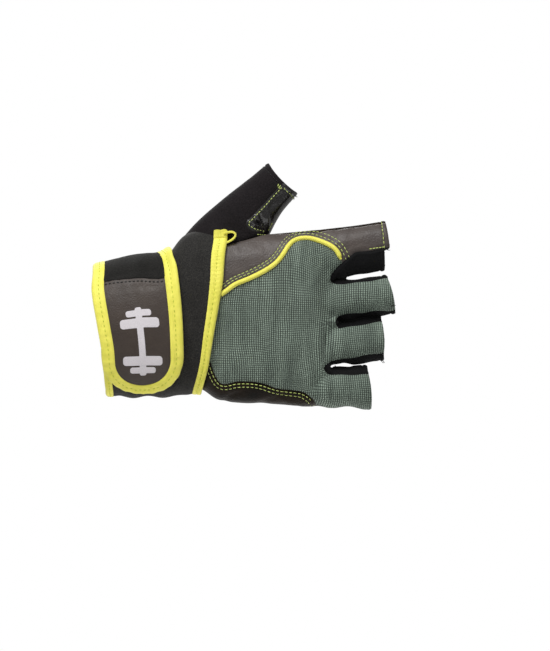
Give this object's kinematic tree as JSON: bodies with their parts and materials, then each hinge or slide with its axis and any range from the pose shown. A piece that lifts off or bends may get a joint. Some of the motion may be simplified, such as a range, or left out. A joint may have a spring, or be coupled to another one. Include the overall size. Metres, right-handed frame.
{
  "type": "weightlifting glove",
  "caption": "Fingerless weightlifting glove for the right hand, with a knitted back, leather palm and index stall, neoprene cuff with lime edges and a wrapped wrist strap with a dumbbell mark",
  "frame": {"origin": "middle of the wrist opening", "axes": "+X from the wrist to the fingers, +Z to the thumb side, -Y out of the back of the hand, +Y out of the palm"},
  "size_m": [0.1519, 0.0573, 0.1225],
  "materials": {
    "knit": "grey-green ribbed knit, matt",
    "glove_leather": "soft black leather with a satin sheen",
    "stretch_cloth": "matt black stretch cloth",
    "neoprene": "cloth-faced neoprene, matt black",
    "lime_tape": "lime edging tape, matt",
    "patch_leather": "dark grey leather, satin",
    "loop_pile": "black fastener pile"
  },
  "bodies": {
    "root": {"back_panel": "knit", "index_panel": "glove_leather", "palm_panel": "glove_leather", "gusset_index_middle": "stretch_cloth", "gusset_middle_ring": "stretch_cloth", "gusset_ring_little": "stretch_cloth", "thumb_sleeve": "stretch_cloth", "thumb_leather": "glove_leather", "piping": "lime_tape", "cuff": "neoprene", "cuff_wrist_tape": "lime_tape", "cuff_hand_tape": "lime_tape", "strap": "neoprene", "strap_tape": "lime_tape", "strap_patch": "patch_leather", "loop_patch": "loop_pile"}
  },
  "joints": []
}
